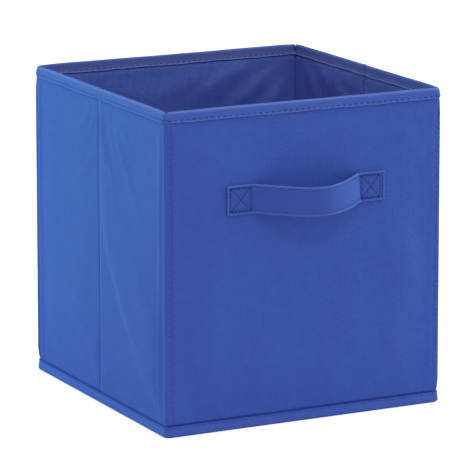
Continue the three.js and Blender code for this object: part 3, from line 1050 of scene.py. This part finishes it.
# ------------------------------------------------------------------ base
# A single sheet of fabric under the bin, and a strip round the bottom edge that holds it
# to the walls: turned under at its top, sewn with one row, and folded in below the base.

base_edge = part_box("base_fabric")[1][0]
hem_pitch = 5.7 * MM
hem_row = hem_top - 1.7 * MM
hem_roll = 1.6 * MM
# The strip goes round in four laps, each a straight side and the corner after it.
straight = half_width - corner_radius
lap = 2 * straight + corner_arc


def on_ring(run, out, up):
    """Points round the bin, from the left end of the front, anticlockwise from above."""
    run, out, up = np.broadcast_arrays(run, out, up)
    side = np.floor(run / lap)
    place = run - side * lap
    turn = np.clip((place - 2 * straight) / corner_radius, 0, math.pi / 2)
    x = np.minimum(place, 2 * straight) - straight + (corner_radius + out) * np.sin(turn)
    y = -straight - (corner_radius + out) * np.cos(turn)
    heading = side * math.pi / 2
    return np.stack([
        x * np.cos(heading) - y * np.sin(heading),
        x * np.sin(heading) + y * np.cos(heading),
        up,
    ], axis=-1)


hem_holes = np.concatenate([k * lap + holes_on(0, lap, hem_pitch)[:-1] for k in range(4)])
one_lap = np.concatenate([
    stations(0, 2 * straight, hem_pitch / 5)[:-1], stations(2 * straight, lap, 0.65 * MM)[:-1],
])
run = np.concatenate([k * lap + one_lap for k in range(4)])
near = near_hole(run, hem_holes, 0.85 * MM)
wave = 0.5 * np.sin(run / (21 * MM)) + 0.5 * np.sin(run / (34 * MM) + 1)

# Its section from the turned-under top down the wall, round the bottom edge and inward. It
# flares over its top edge, is drawn in along the row, and is full and leans out below it.
leg_up = np.linspace(hem_top, hem_roll, 15)
flare = 0.35 * MM * bump(leg_up, hem_top, 0.9 * MM)
stitched = bump(leg_up, hem_row, 0.9 * MM)
full = bump(leg_up, 0.42 * hem_top, 2.6 * MM)
leaning = 0.75 * MM * ease(hem_top - leg_up, 0.5 * MM, 7 * MM) - 0.1 * MM
hem_turned_under = 0.75 * MM
under = np.linspace(0, math.pi / 2, 7)[1:]
bottom = [(-hem_roll + hem_roll * math.cos(a), hem_roll - hem_roll * math.sin(a)) for a in under]
flange = [(-3.4 * MM, 0.1 * MM), (base_edge - half_width - 1.2 * MM, 0.12 * MM)]
sections = []
for hole, slow in zip(near, wave):
    out = leaning + 0.12 * slow * MM * full + flare - (0.25 + 0.2 * hole) * MM * stitched
    rise = 0.15 * MM * slow
    hook = [
        (-hem_turned_under, hem_top - 1.6 * MM),
        (-hem_turned_under, hem_top - 0.3 * MM),
        (-0.35 * MM, hem_top + 0.05 * MM + rise),
    ]
    leg = list(zip(out, leg_up + rise * (leg_up / hem_top)))
    sections.append(hook + leg + bottom + flange)
# The rows of a mesh run up, so the section is turned over.
sections = np.array(sections).transpose(1, 0, 2)[::-1]
points = on_ring(np.broadcast_to(run, sections.shape[:2]), sections[..., 0], sections[..., 1])
measure, hem_width = strip_measure(run, sections, 20)
hem = grid_mesh("hem_binding", points, measure, tape_fabric, closed=True)


def flatten(made):
    """Attaches soft cloth round the bottom to the back wall, with a mesh of its own. The real cloth closes
    up toward the back wall as the bin folds.
    """
    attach(made, "back_wall")
    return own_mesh(made)


flatten(hem)
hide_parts("hem_tape")

# The underside fabric laps over the flange of the strip.
base_reach = base_edge + 3.2 * MM
base_thickness = 0.5 * MM
base_stations = stations(-base_reach, base_reach, 6 * MM)
x, y = np.meshgrid(base_stations, base_stations)
lapped = ease(np.maximum(np.abs(x), np.abs(y)), base_edge - 1.6 * MM, base_edge + 0.2 * MM)
points = np.stack([-x, y, 0.1 * MM + 0.75 * MM * lapped], axis=-1)
base = grid_mesh(
    "underside_fabric", points, np.stack([-x, y], axis=-1), cover_fabric, thickness=base_thickness,
)
flatten(base)
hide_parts("base_fabric")


# ------------------------------------------------------------------ base board
# A loose square of cardboard in a sleeve of the lining fabric, closed by a seam along one
# edge. It lies on the underside fabric and keeps the walls square. Only the sleeve is
# drawn: the board inside it and the seam are not.

sleeve_low, sleeve_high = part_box("base_board_sleeve")
sleeve_half = sleeve_high[0]
sleeve_corner = 4 * MM
sleeve_edge = (sleeve_high[2] - sleeve_low[2]) / 2
sleeve_flat = sleeve_half - sleeve_edge
sleeve_middle = (sleeve_low[2] + sleeve_high[2]) / 2


def rounded_square(half, radius, angles):
    """How far a square with rounded corners reaches in each direction."""
    cosines, sines = np.abs(np.cos(angles)), np.abs(np.sin(angles))
    flat = half / np.maximum(cosines, sines)
    corner = half - radius
    along = cosines * corner + sines * corner
    reach = along + np.sqrt(np.maximum(along ** 2 - 2 * corner ** 2 + radius ** 2, 0))
    inside = np.minimum(cosines, sines) * flat > corner
    return np.where(inside, reach, flat)


quarter = np.linspace(-math.pi / 4, math.pi / 4, 49)[:-1]
angles = np.concatenate([k * math.pi / 2 + quarter for k in range(4)])
outline = rounded_square(sleeve_half, sleeve_corner, angles)
# Rings from the middle of the under side, round the edge, to the middle of the upper side.
edge_turns = np.linspace(-math.pi / 2, math.pi / 2, 9)
rings = [(share * sleeve_flat, sleeve_low[2]) for share in (0.001, 0.5, 0.96)]
rings += [
    (sleeve_flat + sleeve_edge * math.cos(turn), sleeve_middle + sleeve_edge * math.sin(turn))
    for turn in edge_turns
]
rings += [(share * sleeve_flat, sleeve_high[2]) for share in np.linspace(0.97, 0.001, 34)]
sleeve_points = []
sleeve_measure = []
for reach, up in rings:
    scaled = outline * reach / sleeve_half
    x, y = scaled * np.cos(angles), scaled * np.sin(angles)
    level = np.full_like(x, up)
    if up > sleeve_middle:
        # The upper side is a little loose on the board.
        lifted = 0.7 * MM * (0.5 + ripple(x, y, length=60, height=1, seed=71) / MM / 3)
        lifted = lifted * ease(sleeve_half - reach, 0, 20 * MM)
        level = up + np.clip(lifted, 0, 2 * MM) - 0.3 * MM
    sleeve_points.append(np.stack([x, y, level], axis=-1))
    sleeve_measure.append(np.stack([x, y], axis=-1))
sleeve = grid_mesh(
    "base_board_cloth_sleeve", np.array(sleeve_points), np.array(sleeve_measure), lining_fabric,
    closed=True,
)
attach(sleeve, "base_board")
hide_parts("base_board_sleeve", "base_board_core")


# ------------------------------------------------------------------ handles
# On the front and the back walls, a strap of the same fabric: four layers, with the edges
# turned in, sewn flat at both ends and standing off the wall between them.

strap_low, strap_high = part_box("front_handle_left_end")
# Along the wall, the left and right tips of the strap, and where it leaves the wall.
handle_end = (strap_low[0] - 0.8 * MM, -strap_low[0] - 1.8 * MM)
handle_root = (-53 * MM, 50 * MM)
handle_middle_up = (strap_low[2] + strap_high[2]) / 2 + 1.6 * MM
strap_half = (strap_high[2] - strap_low[2]) / 2 + 0.2 * MM
standing = 28.0 * MM
# Half the thickness of the strap where it is fullest.
strap_full = 0.95 * MM
# Four layers sewn together are the smoothest and deepest blue of the bin's cloths.
strap_fabric = non_woven("spunbond_strap", "#425ebc", pit_depth=0.10 * MM, contrast=0.9)


def bezier(start, first, second, end, share):
    """Points of a cubic curve through start and end, led by the two between."""
    share = share[:, None]
    return (
        (1 - share) ** 3 * np.array(start)
        + 3 * share * (1 - share) ** 2 * np.array(first)
        + 3 * share ** 2 * (1 - share) * np.array(second)
        + share ** 3 * np.array(end)
    )


def strap_line(shoulder, shift, reach, right_root):
    """The strap seen from above: along the wall, and out from its plane of sewing."""
    root_bend = 1.6 * MM
    middle = (shift, reach)
    left_root = handle_root[0]
    share = np.linspace(0, 1, 60)
    left = bezier(
        (left_root, 0), (left_root + root_bend, 0), (shift - shoulder, reach), middle, share,
    )
    right = bezier(
        middle, (shift + shoulder, reach), (right_root - root_bend, 0), (right_root, 0), share,
    )
    sewn_left = np.stack([np.linspace(handle_end[0], left_root, 30), np.zeros(30)], axis=-1)
    sewn_right = np.stack([np.linspace(right_root, handle_end[1], 30), np.zeros(30)], axis=-1)
    return np.concatenate([sewn_left[:-1], left[:-1], right[:-1], sewn_right])


def sewing_plane(wall, along, up):
    """How far out the cover is under the ends of a handle, and straight between them."""
    left_root, right_root = handle_root
    held = np.where(along < 0, np.minimum(along, left_root), np.maximum(along, right_root))
    there = cover_height(wall, held, up)
    ends = cover_height(wall, np.array(handle_root), np.full(2, handle_middle_up))
    between = np.interp(along, handle_root, ends)
    inside = np.minimum(along - left_root, right_root - along)
    return there + (between - there) * ease(inside, 0, 6 * MM)


def end_seams(end):
    """The lines of sewing at the left end, 0, or the right one, 1: a square, its two
    diagonals, and at the right one more row across, all as places along and up.
    """
    side = (-1, 1)[end]
    from_edge = 2.8 * MM
    from_root = 1.4 * MM
    from_tip = (3.2 * MM, 4.6 * MM)[end]
    inner = handle_root[end] + side * from_root
    outer = handle_end[end] - side * from_tip
    low = handle_middle_up - strap_half + from_edge
    high = handle_middle_up + strap_half - from_edge
    marks = [(inner, low), (outer, low), (outer, high), (inner, high)]
    lines = [(marks[k], marks[(k + 1) % 4]) for k in range(4)]
    lines += [(marks[0], marks[2]), (marks[1], marks[3])]
    row = handle_end[end] - side * 1.9 * MM
    return lines + [((row, low), (row, high))] * end


def drawn_in(along, up):
    """1 on the sewing of the ends, falling to 0 off it."""
    close = np.full(np.shape(along), 1.0)
    for end in (0, 1):
        for first, last in end_seams(end):
            way = np.array(last) - np.array(first)
            spot = np.stack([along, up], axis=-1) - np.array(first)
            share = np.clip(spot @ way / np.sum(way ** 2), 0, 1)
            close = np.minimum(close, np.linalg.norm(spot - share[..., None] * way, axis=-1))
    return np.exp(-((close / (1.1 * MM)) ** 2))


def make_handle(wall):
    """One strap. Returns how far along it each of its stations is, the lines of its two
    hems with the direction off them, and the places between which it bends off the wall.
    """
    # Its lower edge hangs a little slacker and further right than its upper one.
    upper = strap_line(22 * MM, -1 * MM, standing, handle_root[1] - 1 * MM)
    lower = strap_line(26.5 * MM, 2 * MM, standing - 1.3 * MM, handle_root[1] + 1.5 * MM)
    run = np.concatenate([[0], np.cumsum(np.linalg.norm(np.diff(upper, axis=0), axis=-1))])
    droop = 2.4 * MM * (upper[:, 1] / standing) ** 1.5

    # The section of the strap, face first: its bottom edge, a full rounded hem, the sewn
    # line beside it, the middle, and the same up to the top edge. Its back is alike.
    hem_line = 0.80
    edge_places = np.array([1, 0.985, 0.94, 0.86, hem_line, 0.74, 0.66, 0.58])
    edge_outs = np.array([0.0, 0.9, 1.35, 1.25, 0.55, 0.8, 0.95, 1.0])
    middle_places = np.array([0.5, 0.42, 0.34, 0.26, 0.18, 0.1, 0.03])
    middle_outs = np.full(len(middle_places), 1.02)
    half_places = np.concatenate([edge_places, middle_places])
    half_outs = np.concatenate([edge_outs, middle_outs])
    face_places = np.concatenate([-half_places, half_places[::-1]])
    face_outs = np.concatenate([half_outs, half_outs[::-1]])
    places = np.concatenate([face_places, face_places[::-1][1:-1]])
    outs = np.concatenate([face_outs, -face_outs[::-1][1:-1]]) * strap_full

    points = []
    measure = []
    hems = []
    painted_light = []
    for place, out in zip(places, outs):
        share = (place + 1) / 2
        line = lower + (upper - lower) * share
        heading = np.gradient(line, axis=0)
        heading /= np.linalg.norm(heading, axis=1)[:, None]
        across = np.stack([-heading[:, 1], heading[:, 0]], axis=-1)
        along = line[:, 0] + across[:, 0] * out
        outward = line[:, 1] + across[:, 1] * out
        up = handle_middle_up + place * strap_half - droop
        plane = sewing_plane(wall, along, up) + 1.0 * MM
        if out > 0:
            sewn_down = ease(1.5 * MM - line[:, 1], 0, 1.5 * MM)
            plane = plane + sewn_down * (0.3 - 0.75 * drawn_in(along, up)) * MM
        points.append(on_wall(wall, along, plane + outward, up))
        if abs(place) == hem_line and out > 0:
            off_cloth = on_wall(wall, across[:, 0], across[:, 1], 0) - on_wall(wall, 0, 0, 0)
            hems.append((points[-1], off_cloth))
        # The back of the strap is another piece of the cloth, 60 mm further up it.
        cut_from = handle_middle_up + place * strap_half + (60 * MM if out < 0 else 0)
        measure.append(np.stack([run, np.full_like(run, cut_from)], axis=-1))
        # A highlight is painted along its edges and at its two tips.
        ends = 1 - ease(np.minimum(run, run[-1] - run), 0, 1.6 * MM)
        painted_light.append(np.maximum(ends, ease(abs(place), 0.84, 0.98)) * (out >= 0))
    points.append(points[0])
    measure.append(measure[0])
    painted_light.append(painted_light[0])
    strap = grid_mesh(
        f"{wall}_handle_strap", np.array(points), np.array(measure), strap_fabric,
        painted_light=np.array(painted_light),
    )

    # The section is joined where it meets itself, and the two tips are closed.
    closed = bmesh.new()
    closed.from_mesh(strap.data)
    bmesh.ops.remove_doubles(closed, verts=closed.verts, dist=0.01 * MM)
    bmesh.ops.holes_fill(closed, edges=[e for e in closed.edges if e.is_boundary], sides=0)
    bmesh.ops.recalc_face_normals(closed, faces=closed.faces)
    closed.to_mesh(strap.data)
    closed.free()

    # The strap starts to swing 2.2 mm off the wall, and swings freely from 11 mm: these two places are
    # worked out and returned, and the mesh itself is baked in place.
    face = wall_frames[wall][2]
    plane_out = half_depth + float(sewing_plane(wall, np.zeros(1), np.full(1, handle_middle_up))[0])
    joined = [(0, face[1] * (plane_out + out), handle_middle_up) for out in (2.2 * MM, 11 * MM)]
    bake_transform(strap)
    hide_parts(f"{wall}_handle_left_end", f"{wall}_handle_right_end", f"{wall}_handle_loop")
    return run, hems, joined


handle_hems = {wall: make_handle(wall) for wall in ("front", "back")}


# ------------------------------------------------------------------ stitching
# Lockstitch in blue polyester thread. Each stitch is a short round dash that sinks into
# its two needle holes.

def thread_material(name, colour):
    """Spun polyester thread: smooth and round, so a little glossier than the cloth."""
    made = bare_material(name)
    shader = add_node(made.node_tree, "ShaderNodeBsdfPrincipled", {
        "Base Color": srgb(colour), "Roughness": 0.5, "Specular IOR Level": 0.3,
    })
    add_node(made.node_tree, "ShaderNodeOutputMaterial", {"Surface": shader[0]})
    return made


# This thread's darkness is partly its own and partly painted shade, for the needle holes it sinks into.
shade_painted_thread = thread_material("polyester_thread_painted_shade", "#24398a")
matched_thread = thread_material("polyester_thread_matched", "#3854ac")
light_thread = thread_material("polyester_thread_light", "#5a76d0")
thread_radius = 0.34 * MM

# One stitch, a metre long until it is shortened to a row: an arch of thread whose thin
# ends sink into the cloth.
bpy.ops.object.select_all(action="DESELECT")
bpy.ops.mesh.primitive_cylinder_add(
    vertices=6, radius=thread_radius, depth=1, rotation=(0, math.pi / 2, 0), calc_uvs=False,
)
stitch = bpy.context.object
stitch.name = "stitch"
bpy.ops.object.transform_apply()
bpy.ops.object.mode_set(mode="EDIT")
for place in (-0.33, 0, 0.33):
    bpy.ops.mesh.select_all(action="SELECT")
    bpy.ops.mesh.bisect(plane_co=(place, 0, 0), plane_no=(1, 0, 0))
bpy.ops.object.mode_set(mode="OBJECT")
for vertex in stitch.data.vertices:
    sunk = 0.45 * abs(2 * vertex.co.x) ** 3.6
    vertex.co.y *= 1 - sunk
    vertex.co.z = vertex.co.z * 0.75 * (1 - sunk) + (0.2 - sunk) * MM
bpy.ops.object.shade_smooth()


def gather(*objects):
    """Several meshes joined into the first."""
    bpy.ops.object.select_all(action="DESELECT")
    for part in objects:
        part.select_set(True)
    bpy.context.view_layer.objects.active = objects[0]
    bpy.ops.object.join()
    return objects[0]


def facing(x, y, z=0.0):
    """One outward direction all along a row, as stitch_row takes it."""
    return lambda places: np.broadcast_to(np.array([x, y, z]), (len(places), 3))


def stitch_row(name, holes, line, outward, thread=shade_painted_thread, reach=0.3):
    """Copies of the stitch from hole to hole, joined. line gives the points of the cloth
    for places along the row, outward its normals there, and reach is how far a stitch
    shows each way from its middle, as a share of the pitch.
    """
    copies = []
    for start, end in zip(holes[:-1], holes[1:]):
        places = (start + end) / 2 + (end - start) * reach * np.array([-1, 0, 1])
        first, middle, last = (Vector(point) for point in line(places))
        lift = Vector(outward(places)[1])
        span = last - first
        copy = bpy.data.objects.new(name, stitch.data.copy())
        turn = Matrix((span, lift.cross(span.normalized()), lift)).transposed().to_4x4()
        copy.data.transform(Matrix.Translation(middle) @ turn)
        bpy.context.collection.objects.link(copy)
        copies.append(copy)
    row = gather(*copies)
    row.data.materials.append(thread)
    return row


def rim_stitches_on(name, wall, out, face, reach):
    """A row through the rim's strip, on its outer face or, with face -1, on its inner one."""
    x, y = wall_frames[wall][2]
    return stitch_row(
        name, rim_holes[wall], lambda places: on_wall(wall, places, out, rim_row),
        facing(face * x, face * y), reach=reach,
    )


def upright(points, wall, place, height):
    """The line up a wall or a corner at one place, on the face whose height is given."""
    def line(ups):
        places = np.full_like(ups, place)
        return points(wall, places, height(wall, places, ups), ups)
    return line


def corner_normal(corner, places):
    """The outward direction at each place of a corner."""
    return (on_corner(corner, places, 1 * MM, 0.0) - on_corner(corner, places, 0.0, 0.0)) / MM


outer_row = -0.42 * MM
inner_row = -rim_depth - 0.75 * MM
for wall in wall_frames:
    rows = gather(
        rim_stitches_on(f"{wall}_rim_stitches", wall, outer_row, 1, 0.24),
        rim_stitches_on(f"{wall}_rim_stitches_inside", wall, inner_row, -1, 0.3),
    )
    if wall in sides:
        crease(rows)
    else:
        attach(rows, f"{wall}_wall")

seam_holes = holes_on(hem_top + 0.5 * MM, rim_low - 0.5 * MM, seam_pitch)
for corner in corner_signs:
    rim_stitches = stitch_row(
        f"{corner}_corner_rim_stitches", corner_holes,
        lambda places: on_corner(corner, places, outer_row, rim_row),
        lambda places: corner_normal(corner, places),
    )
    seam_stitches = stitch_row(
        f"{corner}_corner_seam_stitches", seam_holes,
        upright(on_corner, corner, seam_place, corner_cover_height),
        facing(*corner_normal(corner, seam_place)), light_thread,
    )
    inside_stitches = stitch_row(
        f"{corner}_corner_seam_stitches_inside", seam_holes,
        upright(on_corner, corner, corner_middle, corner_lining_face),
        facing(*-corner_normal(corner, corner_middle)), reach=0.4,
    )
    attach_corner(gather(rim_stitches, seam_stitches, inside_stitches), corner)

for wall, sign_x in (("left", -1), ("right", 1)):
    rows = gather(
        stitch_row(
            f"{wall}_crease_stitches", seam_holes,
            upright(on_wall, wall, crease_place[wall], cover_height),
            facing(sign_x, 0), matched_thread,
        ),
        stitch_row(
            f"{wall}_crease_stitches_inside", seam_holes,
            upright(on_wall, wall, crease_place[wall], lining_face),
            facing(-sign_x, 0), reach=0.45,
        ),
    )
    crease(rows)


def on_hem(places, out, up):
    """Points on the hem. The last stitch ends just before the ring is closed."""
    return on_ring(np.minimum(places, 4 * lap - 1e-6), out, up)


hem_stitches = stitch_row(
    "hem_stitches", np.append(hem_holes, 4 * lap),
    lambda places: on_hem(places, -0.4 * MM, hem_row),
    lambda places: (on_hem(places, 1 * MM, 0) - on_hem(places, 0, 0)) / MM,
    matched_thread,
)
flatten(hem_stitches)

# The square and the diagonals at both ends of each strap lie on the strap's face.
handle_pitch = 3.0 * MM
strap_face = 1.55 * MM
for wall in ("front", "back"):
    squares = []
    for first, last in end_seams(0) + end_seams(1):
        first, last = np.array(first), np.array(last)
        length = np.linalg.norm(last - first)
        holes = holes_on(0, length, handle_pitch)

        def sewn(places):
            spots = first + (last - first) * (places / length)[:, None]
            plane = sewing_plane(wall, spots[:, 0], spots[:, 1])
            return on_wall(wall, spots[:, 0], plane + strap_face, spots[:, 1])

        squares.append(stitch_row(
            f"{wall}_handle_stitches", holes, sewn, facing(*wall_frames[wall][2]), reach=0.34,
        ))
    rows = gather(*squares)
    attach(rows, f"{wall}_wall")


def along_strap(run, values):
    """The values of the stations of a strap, read at any places along it."""
    return lambda places: np.stack([np.interp(places, run, values[:, k]) for k in range(3)], axis=-1)


# A strap's two long edges are sewn too.
for wall, (run, hems, joined) in handle_hems.items():
    holes = holes_on(1 * MM, run[-1] - 1 * MM, handle_pitch)
    rows = gather(*(
        stitch_row(
            f"{wall}_handle_edge_stitches", holes, along_strap(run, hem_points),
            along_strap(run, off_cloth), matched_thread, 0.42,
        )
        for hem_points, off_cloth in hems
    ))
    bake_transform(rows)

# The first stitch itself isn't part of the bin.
bpy.data.objects.remove(stitch)
